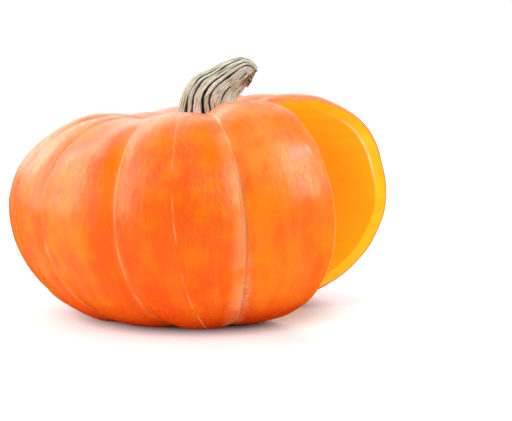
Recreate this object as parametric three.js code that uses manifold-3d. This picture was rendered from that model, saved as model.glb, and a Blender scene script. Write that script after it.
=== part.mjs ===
// A large orange pumpkin with one wedge cut out of its side, as it lies on a table.
// Millimetres, +Z up. The origin is on the table, under the middle of the fruit.
// An azimuth is an angle round the fruit's axis: 0 points along -Y, 90 along +X.
//
// The fruit is first worked out upright, with the origin on its axis at its widest girth.
// It then leans to the left, because the wedge is missing on its right, and settles on a flat spot.

import * as THREE from 'three';
import { mergeVertices } from 'three/addons/utils/BufferGeometryUtils.js';
import Module from 'manifold-3d';

// ---------------------------------------------------------------- driving dimensions

// Profile of a lobed, flattened fruit: (r / radius)^sidePower + (z / height)^power = 1, with a
// bell-shaped dip at each pole. "groove" is how far a usual groove sinks, as a share.
const OUTSIDE = {
  radius: 142, sidePower: 2.87,
  top: 81.1, topPower: 2.18, topDip: 22, topDipWidth: 55,
  bottom: 86, bottomPower: 1.86, bottomDip: 13.5, bottomDipWidth: 28,
  groove: 0.047, columnsPerLobe: 8, rows: 26,
};
const SEED_ZONE = {
  radius: 90, sidePower: 2.6,
  top: 42, topPower: 2.2, topDip: 20, topDipWidth: 40,
  bottom: 52, bottomPower: 1.9, bottomDip: 7, bottomDipWidth: 26,
  groove: 0.035, columnsPerLobe: 3, rows: 12,
};
// Each lobe starts in a groove at this azimuth and ends in the next one. "depth" is how deep that
// first groove is next to a usual one. "swell" is how much larger the lobe's crown is than a usual
// lobe's at the top, as a share. It fades out towards the bottom.
const LOBES = [
  { start: -153, depth: 0.98, swell: -0.032 }, { start: -128, depth: 0.95, swell: -0.014 },
  { start: -103, depth: 0.9, swell: 0.007 }, { start: -76, depth: 0.75, swell: -0.022 },
  { start: -54, depth: 0.7, swell: -0.056 }, { start: -25, depth: 0.85, swell: -0.004 },
  { start: 10, depth: 0.5, swell: 0.077 }, { start: 47, depth: 1, swell: 0 },
  { start: 68, depth: 0.92, swell: 0 }, { start: 94, depth: 0.96, swell: -0.014 },
  { start: 121, depth: 1, swell: -0.022 }, { start: 150, depth: 1, swell: 0.012 },
  { start: 178, depth: 1, swell: -0.027 },
];
const LOBE_POWER = 2.6;         // how full a lobe is between its two grooves
const LOBE_START = 12;          // the grooves fade in from this radius ...
const LOBE_FULL = 57;           // ... to this one, so the poles are smooth
const SHOULDER = 0.035;         // front-left and back-right shoulders stand this share higher

const LEAN = 5.65;              // degrees, towards -X
const SETTLE = 7.3;             // how far the lowest lobe is pressed flat
const SETTLE_EDGE = 2;          // half the height over which the flat spot rounds off
const CENTRE = [2.5, 0.7];      // shift that puts the origin under the middle of the fruit

const NOTCH_APEX = [19, -7];    // where the two cuts meet, x and y
const NOTCH_NEAR = 30.6;        // azimuth of the nearer cut face
const NOTCH_FAR = 103;          // azimuth of the farther cut face
const NOTCH_HEIGHT = 200;       // the cuts run this far up and down, past the whole fruit
const CLEARANCE = 0.3;          // gap between two pieces that lie on each other

const SEED_LENGTH = 17;
const SEED_WIDTH = 7.4;
const SEED_THICK = 6.6;
const POCKET_LENGTH = 23;
const POCKET_WIDTH = 8.8;
const POCKET_DEPTH = 3.6;
const SEED_ROWS = [             // rows of seeds on a cut face, by distance from the apex
  { out: 19, lowest: -38, highest: 12, count: 5 },
  { out: 39, lowest: -35, highest: 23, count: 5 },
  { out: 58, lowest: -19, highest: 15, count: 3 },
];
const CORE = { x: 9, y: -3.5, z: -12, radius: 19, halfHeight: 25 };   // the hollow at the heart
const CORE_SEEDS = 5;
const STRINGS = 6;
const STRING_RADIUS = 1.2;
const STRING_SPREAD = 0.74;     // how far from the middle of the hollow they hang, as a share
const STRING_SECTOR = [120, 300];   // azimuths of the strings' lower ends, away from the cuts

// The stalk's cross-sections, from the sunk foot to the broken end: centre, radius, and the
// direction in which the stalk grows there, in degrees above +X.
const STALK_SECTIONS = [
  { x: 2, z: 48, radius: 29, heading: 88 },
  { x: 5, z: 58, radius: 24.5, heading: 86 },
  { x: 7.9, z: 65.6, radius: 21.3, heading: 82 },
  { x: 10.2, z: 74.2, radius: 19.3, heading: 61 },
  { x: 15.9, z: 80.2, radius: 17.1, heading: 49 },
  { x: 22.2, z: 85.4, radius: 14.2, heading: 43 },
  { x: 29.6, z: 89.7, radius: 12.8, heading: 29 },
  { x: 38.1, z: 92.6, radius: 10.8, heading: 16 },
  { x: 41.6, z: 91.3, radius: 9.4, heading: -8 },
  { x: 43.8, z: 87.3, radius: 8.2, heading: -33 },
];
const STALK_RIDGES = 17;
const STALK_RIDGE_DEPTH = 0.15;
const STALK_RINGS = 18;
const FOOT_CUT_TOP = 67;        // the two cuts trim the stalk's foot up to this height

// ---------------------------------------------------------------- helpers

const radians = THREE.MathUtils.degToRad;
const wasm = await Module();
wasm.setup();

// A closed surface from rings of points, listed from the first pole to the last one. Each ring
// runs anticlockwise when it is seen from the last pole.
function closedRings(firstPole, rings, lastPole) {
  const count = rings[0].length;
  const points = [firstPole, ...rings.flat(), lastPole];
  const at = (ring, column) => 1 + ring * count + (column % count);
  const faces = [];
  for (let column = 0; column < count; column += 1) {
    faces.push(0, at(0, column + 1), at(0, column));
    for (let ring = 0; ring < rings.length - 1; ring += 1) {
      const [near, far] = [at(ring, column), at(ring + 1, column + 1)];
      faces.push(near, at(ring, column + 1), far, near, far, at(ring + 1, column));
    }
    faces.push(points.length - 1, at(rings.length - 1, column), at(rings.length - 1, column + 1));
  }
  const geometry = new THREE.BufferGeometry().setFromPoints(points);
  geometry.setIndex(faces);
  return geometry;
}

function toSolid(geometry) {
  const bare = geometry.clone();
  bare.deleteAttribute('normal');
  bare.deleteAttribute('uv');
  const merged = mergeVertices(bare);
  return new wasm.Manifold(new wasm.Mesh({
    numProp: 3,
    vertProperties: new Float32Array(merged.attributes.position.array),
    triVerts: new Uint32Array(merged.index.array),
  }));
}

function toGeometry(solid) {
  const mesh = solid.getMesh();
  const geometry = new THREE.BufferGeometry();
  geometry.setAttribute('position', new THREE.Float32BufferAttribute(mesh.vertProperties, 3));
  geometry.setIndex(new THREE.Uint32BufferAttribute(mesh.triVerts, 1));
  geometry.computeVertexNormals();
  return geometry;
}

// A repeatable draw between -1 and 1.
let drawn = 7;
function jitter() {
  drawn = (drawn * 16807) % 2147483647;
  return (2 * drawn) / 2147483647 - 1;
}

// ---------------------------------------------------------------- the fruit's form

// One column per point of a lobe: its azimuth, how full the lobe is there (0 in the groove, 1 on
// the crown), how deep its groove is next to a usual one, and the lobe's own swell.
function lobeColumns(columnsPerLobe) {
  return LOBES.flatMap(({ start, depth, swell }, index) => {
    const next = LOBES[(index + 1) % LOBES.length];
    const end = next.start < start ? next.start + 360 : next.start;
    return Array.from({ length: columnsPerLobe }, (_, column) => {
      const share = column / columnsPerLobe;
      return {
        azimuth: radians(start + (end - start) * share),
        fullness: 1 - Math.abs(2 * share - 1) ** LOBE_POWER,
        depth: share < 0.5 ? depth : next.depth,
        swell,
      };
    });
  });
}

// A point of the lobed form. "rise" is -90 at the bottom pole, 0 at the girth, 90 at the top pole.
function fruitPoint(form, column, rise) {
  const share = Math.cos(radians(rise));
  let r = form.radius * share;
  const fade = THREE.MathUtils.smoothstep(r, LOBE_START, LOBE_FULL);
  const above = rise > 0;
  const height = above
    ? form.top * (1 - SHOULDER * fade * Math.sin(2 * column.azimuth))
    : -form.bottom;
  const power = above ? form.topPower : form.bottomPower;
  let z = height * (1 - share ** form.sidePower) ** (1 / power);
  const sunk = form.groove * (1 - column.fullness) * column.depth;
  const swollen = column.swell * column.fullness * (1 + Math.sin(radians(rise))) / 2;
  const lobing = 1 + fade * (swollen - sunk);
  r *= lobing;
  z *= lobing;
  z += above
    ? -form.topDip * Math.exp(-((r / form.topDipWidth) ** 2))
    : form.bottomDip * Math.exp(-((r / form.bottomDipWidth) ** 2));
  return new THREE.Vector3(r * Math.sin(column.azimuth), -r * Math.cos(column.azimuth), z);
}

function fruitForm(form) {
  const columns = lobeColumns(form.columnsPerLobe);
  const rises = Array.from({ length: form.rows - 1 }, (_, row) => -90 + (180 * (row + 1)) / form.rows);
  const rings = rises.map((rise) => columns.map((column) => fruitPoint(form, column, rise)));
  return closedRings(
    new THREE.Vector3(0, 0, form.bottomDip - form.bottom),
    rings,
    new THREE.Vector3(0, 0, form.top - form.topDip),
  );
}

// The same form, larger or smaller all round by "extra".
function grown(form, extra) {
  return { ...form, radius: form.radius + extra, top: form.top + extra, bottom: form.bottom + extra };
}

// ---------------------------------------------------------------- how it lies on the table

const leanTurn = new THREE.Matrix4().makeRotationY(-radians(LEAN));

function lowestPoint(geometry) {
  const leaning = geometry.clone().applyMatrix4(leanTurn);
  leaning.computeBoundingBox();
  return leaning.boundingBox.min.z;
}

const outsideUpright = fruitForm(OUTSIDE);
const lift = -lowestPoint(outsideUpright) - SETTLE;
const toTable = new THREE.Matrix4().makeTranslation(...CENTRE, lift).multiply(leanTurn);

// Below the table the skin is pressed flat, and just above it the skin rounds off into the flat.
function pressFlat(geometry) {
  const position = geometry.attributes.position;
  for (let index = 0; index < position.count; index += 1) {
    const z = position.getZ(index);
    if (z <= -SETTLE_EDGE) position.setZ(index, 0);
    else if (z < SETTLE_EDGE) position.setZ(index, (z + SETTLE_EDGE) ** 2 / (4 * SETTLE_EDGE));
  }
  return geometry;
}

// ---------------------------------------------------------------- the wedge that is missing

function direction(azimuth) {
  return new THREE.Vector3(Math.sin(radians(azimuth)), -Math.cos(radians(azimuth)), 0);
}

// A tall prism between the two cuts, which meet at the apex and open to the right.
function notchPrism(bottom, top) {
  const reach = 320;
  const apex = new THREE.Vector3(...NOTCH_APEX, 0);
  const ends = [NOTCH_NEAR, NOTCH_FAR].map((cut) => apex.clone().addScaledVector(direction(cut), reach));
  const outline = new THREE.Shape([apex, ...ends].map(({ x, y }) => new THREE.Vector2(x, y)));
  const prism = new THREE.ExtrudeGeometry(outline, { depth: top - bottom, bevelEnabled: false });
  return prism.translate(0, 0, bottom);
}

// The two cut faces as frames: "out" runs along the face from the apex, "open" points into the gap.
const cutFaces = [
  { out: direction(NOTCH_NEAR), open: direction(NOTCH_NEAR + 90) },
  { out: direction(NOTCH_FAR), open: direction(NOTCH_FAR - 90) },
];

// ---------------------------------------------------------------- seeds, pockets and strings

// An egg-shaped lump with its long axis along "along" and its thin one along "through".
function lump(centre, along, through, length, width, thickness) {
  const across = new THREE.Vector3().crossVectors(through, along);
  const sides = 8;
  const rings = [-0.66, 0, 0.7].map((step) => {
    const spread = Math.sqrt(1 - step * step);
    return Array.from({ length: sides }, (_, side) => {
      const angle = (2 * Math.PI * side) / sides;
      return centre.clone()
        .addScaledVector(along, (step * length) / 2)
        .addScaledVector(across, (Math.sin(angle) * spread * width) / 2)
        .addScaledVector(through, (-Math.cos(angle) * spread * thickness) / 2);
    });
  });
  const tail = centre.clone().addScaledVector(along, -length / 2);
  const tip = centre.clone().addScaledVector(along, length / 2);
  return closedRings(tail, rings, tip);
}

// Where each seed of a cut face lies: rows stand at set distances from the apex, every seed points
// away from the heart of the fruit, and each is moved and turned a little.
function faceSeeds(face) {
  const apex = new THREE.Vector3(...NOTCH_APEX, 0);
  return SEED_ROWS.flatMap((row) => Array.from({ length: row.count }, (_, index) => {
    const height = row.lowest + ((row.highest - row.lowest) * index) / (row.count - 1);
    const out = row.out + 2.5 * jitter();
    const level = height + 1.2 * jitter();
    const fan = radians(0.55 * (level + 8) + 6 * jitter());
    const along = face.out.clone().multiplyScalar(Math.cos(fan));
    along.z = Math.sin(fan);
    const centre = apex.clone().addScaledVector(face.out, out);
    centre.z = level;
    return { centre, along, through: face.open, size: 0.92 + 0.12 * jitter() };
  }));
}

function seedSolid({ centre, along, through, size }) {
  const sunk = centre.clone().addScaledVector(through, 1.5 - SEED_THICK / 2);
  return toSolid(lump(sunk, along, through, SEED_LENGTH * size, SEED_WIDTH * size, SEED_THICK));
}

function pocketSolid({ centre, along, through, size }) {
  const shifted = centre.clone().addScaledVector(along, (POCKET_LENGTH - SEED_LENGTH) / 3);
  return toSolid(lump(shifted, along, through, POCKET_LENGTH * size, POCKET_WIDTH * size, 2 * POCKET_DEPTH));
}

// The uneven hollow at the heart, which the cuts open.
function coreHollow() {
  const rings = [-60, -30, 0, 30, 60].map((rise) => Array.from({ length: 14 }, (_, side) => {
    const turn = (2 * Math.PI * side) / 14;
    const wave = 1 + 0.09 * Math.sin(3 * turn + radians(rise)) + 0.05 * jitter();
    const spread = CORE.radius * Math.cos(radians(rise)) * wave;
    return new THREE.Vector3(
      CORE.x + spread * Math.sin(turn),
      CORE.y - spread * Math.cos(turn),
      CORE.z + CORE.halfHeight * Math.sin(radians(rise)),
    );
  }));
  const pole = (sign) => new THREE.Vector3(CORE.x, CORE.y, CORE.z + sign * CORE.halfHeight);
  return closedRings(pole(-1), rings, pole(1));
}

// Seeds that cling to the back wall of the hollow, away from the cuts.
function coreSeeds() {
  return Array.from({ length: CORE_SEEDS }, (_, index) => {
    const azimuth = 150 + (220 * (index + 0.5)) / CORE_SEEDS;
    const inward = direction(azimuth).negate();
    const centre = new THREE.Vector3(CORE.x, CORE.y, CORE.z + 9 * Math.cos(2.6 * index));
    centre.addScaledVector(inward, -CORE.radius * 0.9);
    const tilt = radians(90 + 25 * jitter());
    const along = direction(azimuth + 90).multiplyScalar(Math.cos(tilt));
    along.z = Math.sin(tilt);
    return { centre, along, through: inward, size: 1 };
  });
}

// A slack string from the floor of the hollow to its roof, near its back wall.
function stringSolid(index) {
  const turn = radians(THREE.MathUtils.lerp(...STRING_SECTOR, index / (STRINGS - 1)));
  const spread = CORE.radius * STRING_SPREAD;
  const knot = (height, share, swing) => new THREE.Vector3(
    CORE.x + spread * share * Math.sin(turn + swing),
    CORE.y - spread * share * Math.cos(turn + swing),
    CORE.z + height * CORE.halfHeight,
  );
  const swing = 0.5 + 0.3 * jitter();
  const path = new THREE.CatmullRomCurve3([
    knot(-1.15, 0.75, 0),
    knot(-0.4, 1 + 0.15 * jitter(), swing * 0.4),
    knot(0.3, 0.9 + 0.15 * jitter(), swing),
    knot(1.15, 0.7, swing * 1.2),
  ]);
  const section = new THREE.Shape(Array.from({ length: 5 }, (_, side) => new THREE.Vector2(
    STRING_RADIUS * Math.cos((2 * Math.PI * side) / 5),
    STRING_RADIUS * Math.sin((2 * Math.PI * side) / 5),
  )));
  return toSolid(new THREE.ExtrudeGeometry(section, { steps: 7, bevelEnabled: false, extrudePath: path }));
}

// ---------------------------------------------------------------- the stalk

// Rings of a ridged tube that bends to the right. Sections follow each other along two splines, one
// for the centre and one for the radius and heading.
function stalkForm() {
  const centres = new THREE.SplineCurve(STALK_SECTIONS.map(({ x, z }) => new THREE.Vector2(x, z)));
  const shapes = new THREE.SplineCurve(
    STALK_SECTIONS.map(({ radius, heading }) => new THREE.Vector2(radius, heading)),
  );
  const columns = 2 * STALK_RIDGES;
  const rings = Array.from({ length: STALK_RINGS }, (_, ring) => {
    const along = ring / (STALK_RINGS - 1);
    const centre = centres.getPoint(along);
    const shape = shapes.getPoint(along);
    const side = radians(shape.y - 90);
    return Array.from({ length: columns }, (_, column) => {
      const turn = (2 * Math.PI * column) / columns;
      const uneven = 1 + 0.35 * Math.sin(3 * turn + 1) + 0.25 * Math.sin(5 * turn);
      const ridge = 1 - STALK_RIDGE_DEPTH * uneven * (column % 2) * (1 - 0.45 * along);
      const knob = 1 + 0.1 * Math.exp(-(((along - 0.47) / 0.07) ** 2)) * Math.max(0, -Math.cos(turn)) ** 3;
      const reach = shape.x * ridge * knob;
      return new THREE.Vector3(
        centre.x + reach * Math.cos(turn) * Math.cos(side),
        reach * Math.sin(turn),
        centre.y + reach * Math.cos(turn) * Math.sin(side),
      );
    });
  });
  const middle = (ring) => ring.reduce((sum, point) => sum.add(point), new THREE.Vector3())
    .divideScalar(columns);
  return closedRings(middle(rings[0]), rings, middle(rings[STALK_RINGS - 1]));
}

// ---------------------------------------------------------------- joining and cutting

// The wall is made where it lies, because the table presses it flat. The pulp and the stalk are
// made upright, and lean with the fruit in a group of their own.
const onTable = (geometry) => toSolid(geometry.applyMatrix4(toTable));
const outside = toSolid(pressFlat(outsideUpright.applyMatrix4(toTable)));
const fruitWall = outside
  .subtract(onTable(fruitForm(SEED_ZONE)))
  .subtract(onTable(notchPrism(-NOTCH_HEIGHT, NOTCH_HEIGHT)));

const seeds = cutFaces.flatMap(faceSeeds);
const innerZone = toSolid(fruitForm(grown(SEED_ZONE, -CLEARANCE - 0.1)));
let seedPulp = innerZone
  .subtract(toSolid(notchPrism(-NOTCH_HEIGHT, NOTCH_HEIGHT)))
  .subtract(toSolid(coreHollow()));
for (const seed of seeds) seedPulp = seedPulp.subtract(pocketSolid(seed));
for (const seed of [...seeds, ...coreSeeds()]) seedPulp = seedPulp.add(seedSolid(seed));
for (let index = 0; index < STRINGS; index += 1) seedPulp = seedPulp.add(stringSolid(index));
seedPulp = seedPulp.intersect(innerZone);

const stalk = toSolid(stalkForm())
  .subtract(toSolid(fruitForm(grown(OUTSIDE, CLEARANCE))))
  .subtract(toSolid(notchPrism(-NOTCH_HEIGHT, FOOT_CUT_TOP)));

// ---------------------------------------------------------------- the assembly

function piece(name, solid, color, roughness) {
  const material = new THREE.MeshStandardMaterial({ color, roughness, metalness: 0, flatShading: true });
  const mesh = new THREE.Mesh(toGeometry(solid), material);
  mesh.name = name;
  return mesh;
}

const leaning = new THREE.Group();
leaning.rotation.y = -radians(LEAN);
leaning.position.set(...CENTRE, lift);
leaning.add(piece('seed_pulp', seedPulp, 0xeea32a, 0.5));
leaning.add(piece('stalk', stalk, 0xa5967c, 0.85));

const group = new THREE.Group();
group.add(piece('fruit_wall', fruitWall, 0xf27a1e, 0.4));
group.add(leaning);

export default group;
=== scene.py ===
import math

import bpy
import numpy as np
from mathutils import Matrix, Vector


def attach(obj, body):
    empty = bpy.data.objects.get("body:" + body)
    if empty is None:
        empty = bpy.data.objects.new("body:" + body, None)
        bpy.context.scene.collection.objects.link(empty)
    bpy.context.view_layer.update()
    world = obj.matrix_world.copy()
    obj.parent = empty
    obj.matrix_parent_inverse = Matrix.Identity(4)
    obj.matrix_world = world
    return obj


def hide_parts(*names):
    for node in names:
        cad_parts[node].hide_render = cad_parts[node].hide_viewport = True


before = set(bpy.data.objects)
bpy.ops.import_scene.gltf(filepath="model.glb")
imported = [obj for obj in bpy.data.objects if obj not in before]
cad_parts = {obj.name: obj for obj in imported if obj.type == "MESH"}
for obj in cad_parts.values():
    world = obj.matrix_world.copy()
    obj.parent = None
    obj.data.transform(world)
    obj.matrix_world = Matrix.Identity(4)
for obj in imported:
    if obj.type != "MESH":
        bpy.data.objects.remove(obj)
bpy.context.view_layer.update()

# ------------------------------ the rind
# The fruit's skin is a firm, glossy layer about a millimetre thick, grown in one piece over
# thirteen lobes. Two knife cuts, which meet beside the stalk, took a wedge out of its right side.
# Lengths are in millimetres until a piece is laid on the table. The fruit is worked out upright.

RIND = dict(radius=142, side_power=2.87, top=81.1, top_power=2.18, top_dip=22, top_dip_width=55,
            bottom=86, bottom_power=1.86, bottom_dip=13.5, bottom_dip_width=28,
            groove=0.05, uneven=0.7)
RIND_THICKNESS = 1.2
LOBES = np.array([              # azimuth of each groove, its depth, swell of the lobe it starts
    (-153, 0.98, -0.032), (-128, 0.95, -0.014), (-103, 0.9, 0.007), (-76, 0.75, -0.022),
    (-54, 0.7, -0.056), (-25, 0.85, -0.004), (10, 0.5, 0.077), (47, 1, 0), (68, 0.92, 0),
    (94, 0.96, -0.014), (121, 1, -0.022), (150, 1, 0.012), (178, 1, -0.027)])
VEIN = np.array([0.5, 0.5, 0.5, 0.85, 0.8, 0.75, 1.0, 0.6, 0.5, 0.6, 0.7, 0.6, 0.5])   # how pale
GOLD = np.array([0.6, 0.8, 0.9, 0.9, 0.25, 0.05, 0.75, 0.5, 0.4, 0.5, 0.3, 0.6, 0.4])   # how yellow
# Two of these patches are painted light: the deep narrow stripe at -31 paints the shade on the
# lobe's flank just left of the groove at -25, and the paler patch at 20, 29 paints part of the
# broad highlight high on the near lobe.
TONES_AND_LIGHT = np.array([              # paler and, below zero, deeper patches: azimuth and rise of the
    (-31, 15, 4.5, 45, -0.9),       # middle, the distances at which they fade, strength
    (-9, -4, 10, 22, -0.7), (20, 29, 8, 19, 0.8), (-16, 34, 6, 15, 0.5), (-60, -20, 9, 16, 0.3),
    (95, 20, 9, 25, -0.6), (140, 30, 10, 20, 0.6), (-120, 10, 9, 30, -0.5), (-165, 25, 9, 20, 0.6)])
DULL = np.array([               # where the wax is rubbed off: the same, and how much of it
    (-28, 26, 4, 24, 1.0), (2, 42, 7, 11, 0.8), (-11, 36, 4, 8, 0.8), (5, 27, 5, 8, 0.9),
    (15, 42, 4, 6, 0.7), (75, 10, 8, 25, 0.8), (130, 20, 8, 20, 0.8), (165, -5, 8, 20, 0.7),
    (-140, 5, 8, 20, 0.7), (-95, 25, 7, 20, 0.8)])
HAIR = np.array([0.6, 0.3, 0.6, 0.8, 1, 0, 0, 0.6, 0.5, 0.7, 0.4, 0.6, 0.5])    # dark line above
LEAN = math.radians(5.65)       # towards -X
PLACE = (2.5, 0.7, 80.3537)     # of the middle of the fruit
APEX = np.array([19.0, -7.0])   # where the two cuts meet
APEX_AZIMUTH = math.degrees(math.atan2(APEX[0], -APEX[1]))
NEAR_CUT, FAR_CUT = 30.6, 103   # azimuths along the cut faces, and those that they look to
NEAR_LOOK, FAR_LOOK = NEAR_CUT + 90, FAR_CUT - 90
NEAR_LOBE, FAR_LOBE = 10, 121   # the last grooves before each cut
SMOOTH_POLE, LOBED = 12, 57     # radii between which the smooth skin of a pole becomes lobes
CROWN_POWER, GROOVE_ROUND = 2.6, 0.045      # how sharply lobes meet, and how round a groove is
LOPSIDED = 0.035                # share by which the top's quarters are lower and higher by turns
BED_ROUND = 2                   # the pressed patch rounds off this far above and below its bed
COLUMNS = {121: 24, 150: 24, 178: 24, 207: 24, 232: 24, 257: 30, 284: 38, 306: 44, 335: 50}
CUT_LOBE_COLUMNS = (28, 44)     # between the far cut and its groove, and up to the near cut
ROWS = 150                      # from the lower end of the cuts to the upper one
CAP_ROWS = 8                    # from there to each pole
HALVINGS = 42                   # of a span, which finds a border to under a billionth of it


def smooth_step(value, low, high):
    """Rises from 0 at low to 1 at high along 3 t^2 - 2 t^3."""
    t = np.clip((value - low) / (high - low), 0, 1)
    return t * t * (3 - 2 * t)


def bell(value, width):
    """1 at nothing, falling off along exp(-(value / width)^2)."""
    return np.exp(-(value / width) ** 2)


def swells(points, size, seed, count=12):
    """Gentle unevenness about 1 high: the sum of sine waves that cross each other in drawn
    directions, each about 6 sizes long."""
    draw = np.random.default_rng(seed)
    total = 0
    for _ in range(count):
        ways = draw.normal(size=3) / size
        total = total + np.sin(points @ ways + draw.uniform(0, 2 * math.pi))
    return total * math.sqrt(2 / count)


def stacked(*parts):
    """Points from their x, y and z, each an array or a number."""
    return np.stack(np.broadcast_arrays(*parts), -1)


def heading(azimuth):
    """Level unit vector: azimuth 0 points along -Y, and 90 along +X."""
    turn = math.radians(azimuth)
    return np.array([math.sin(turn), -math.cos(turn)])


def turned_from(azimuth, middle):
    """The angle from middle to azimuth, from -180 to 180."""
    return (azimuth - middle + 180) % 360 - 180


def between_grooves(grooves, azimuth):
    """For each azimuth: the groove before it, the share passed of the way to the next one, how
    many degrees that way is, and the nearest groove."""
    from_first, turned = grooves - grooves[0], (azimuth - grooves[0]) % 360
    before = np.searchsorted(from_first, turned, side="right") - 1
    width = np.diff(grooves, append=grooves[0] + 360)[before]
    passed = (turned - from_first[before]) / width
    return before, passed, width, (before + (passed > 0.5)) % len(grooves)


def fruit_point(form, azimuth, rise):
    """A point of a lobed, flattened fruit. Distance from the axis to the side power plus height
    to its own power is one. Each lobe is full at its crown and sinks to its grooves along a power
    of the distance from the crown, and a bell-shaped dip lies at each pole. Rise is -90 at the
    bottom, 0 at the girth and 90 at the top."""
    azimuth, rise = np.broadcast_arrays(azimuth, rise)
    turn, up = np.radians(azimuth), np.radians(rise)
    share, above = np.cos(up), rise > 0
    r = form["radius"] * share
    fade = smooth_step(r, SMOOTH_POLE, LOBED)
    lobe, passed, _, nearest = between_grooves(LOBES[:, 0], azimuth)
    from_groove = np.hypot(1 - np.abs(2 * passed - 1), GROOVE_ROUND)
    fullness = 1 - np.clip(1 - from_groove, 0, None) ** CROWN_POWER
    height = np.where(above, form["top"] * (1 - LOPSIDED * fade * np.sin(2 * turn)),
                      -form["bottom"])
    power = np.where(above, form["top_power"], form["bottom_power"])
    z = height * np.clip(1 - share ** form["side_power"], 0, None) ** (1 / power)
    sunk = form["groove"] * (1 - fullness) * LOBES[nearest, 1]
    lobing = 1 + fade * (LOBES[lobe, 2] * fullness * (1 + np.sin(up)) / 2 - sunk)
    sway = smooth_step(r, 25, LOBED) * (0.5 * np.sin(5 * turn + 2.5 * up)
                                        + 0.3 * np.sin(9 * turn - 4 * up + 1))
    turn = turn + np.radians(sway)
    ball = RIND["radius"] * stacked(share * np.sin(turn), -share * np.cos(turn), np.sin(up))
    lumps = swells(ball, 34, 3) + 0.35 * swells(ball, 9, 4)
    lobing = lobing + fade * form["uneven"] * lumps / form["radius"]
    r, z = r * lobing, z * lobing
    z = z + np.where(above, -form["top_dip"] * bell(r, form["top_dip_width"]),
                     form["bottom_dip"] * bell(r, form["bottom_dip_width"]))
    return stacked(r * np.sin(turn), -r * np.cos(turn), z)


def past_cut(points, opening):
    """How far points lie past a cut face, into the gap that the azimuth opening points to."""
    return (points[..., :2] - APEX) @ heading(opening)


def from_gap(points):
    """How far points lie from the gap that the two cuts opened."""
    near, far = past_cut(points, NEAR_LOOK), past_cut(points, FAR_LOOK)
    return np.abs(np.minimum(near, far))


def halved(inside, outside, is_out):
    """The border between inside and outside, found by halving the span between them."""
    for _ in range(HALVINGS):
        middle = (inside + outside) / 2
        out = is_out(middle)
        inside, outside = np.where(out, inside, middle), np.where(out, middle, outside)
    return inside


def lobe_steps(start, end, steps):
    """Azimuths from one groove to the next, closer together near the grooves."""
    t = np.linspace(0, 1, steps + 1)[:-1]
    return start + (end - start) * (0.62 * t + 0.38 * (1 - np.cos(math.pi * t)) / 2)


def grown(form, extra):
    """The same form, larger all round."""
    return {**form, **{key: form[key] + extra for key in ("radius", "top", "bottom")}}


def sheet(form, every=1, rows=ROWS):
    """The form as a grid that runs from the far cut round the back and the front to the near cut,
    and up from the bottom to the top. Rings within the apex of the cuts are whole. Returns the
    points, and the azimuth and rise of each."""
    reach = math.hypot(*APEX)
    low, high = [halved(np.array(90.0 * side), np.array(30.0 * side), lambda rise: np.hypot(
        *fruit_point(form, APEX_AZIMUTH, rise)[:2]) > reach) for side in (-1, 1)]
    rise = np.concatenate([np.linspace(-90, low, CAP_ROWS, endpoint=False),
                           np.linspace(low, high, rows),
                           np.linspace(high, 90, CAP_ROWS + 1)[1:]])[:, None]
    limits = []
    for groove, opening in ((FAR_LOBE, FAR_LOOK), (NEAR_LOBE, NEAR_LOOK)):
        inside, outside = np.full_like(rise, groove), np.full_like(rise, APEX_AZIMUTH)
        limits.append(halved(inside, outside, lambda azimuth: past_cut(
            fruit_point(form, azimuth, rise), opening) > 0))
    whole = np.r_[:CAP_ROWS + 1, CAP_ROWS + rows - 1:len(rise)]
    far, near = limits
    far[whole] = near[whole] = APEX_AZIMUTH
    ends = [*list(COLUMNS)[1:], 360 + NEAR_LOBE]
    fixed = np.concatenate([lobe_steps(start, end, COLUMNS[start])
                            for start, end in zip(COLUMNS, ends)])
    far_steps, near_steps = [np.linspace(0, 1, steps + 1) for steps in CUT_LOBE_COLUMNS]
    azimuth = np.hstack([far + (FAR_LOBE - far) * far_steps[:-1],
                         np.broadcast_to(fixed, (len(rise), len(fixed))),
                         360 + NEAR_LOBE + (near - NEAR_LOBE) * near_steps])
    azimuth = azimuth[:, np.r_[0:azimuth.shape[1] - 1:every, azimuth.shape[1] - 1]]
    points = fruit_point(form, azimuth, rise)
    points[whole, -1] = points[whole, 0]
    points[0], points[-1] = points[0, 0], points[-1, 0]
    return points, azimuth, rise


def ruled(first, last, steps):
    """Straight rows of points from each point of one curve to its partner on another."""
    share = np.linspace(0, 1, steps + 1)[None, :, None]
    return first[:, None] * (1 - share) + last[:, None] * share


def cut_rows(grid):
    """The rows of a sheet from the lower end of the cuts to the upper one."""
    return grid[CAP_ROWS:len(grid) - CAP_ROWS]


def lie_down(points, bed=0.0):
    """Leans upright points as the fruit lies, in metres. What would be below the table, or below
    a height of bed over it, is pressed flat, and meets the rest along a parabola."""
    x, y, z = np.moveaxis(points, -1, 0)
    up = x * math.sin(LEAN) + z * math.cos(LEAN) + PLACE[2] - bed
    rounded = (up + BED_ROUND) ** 2 / (4 * BED_ROUND)
    up = np.where(up < -BED_ROUND, 0, np.where(up < BED_ROUND, rounded, up)) + bed
    across = x * math.cos(LEAN) - z * math.sin(LEAN) + PLACE[0]
    return stacked(across, y + PLACE[1], up) / 1000


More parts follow.
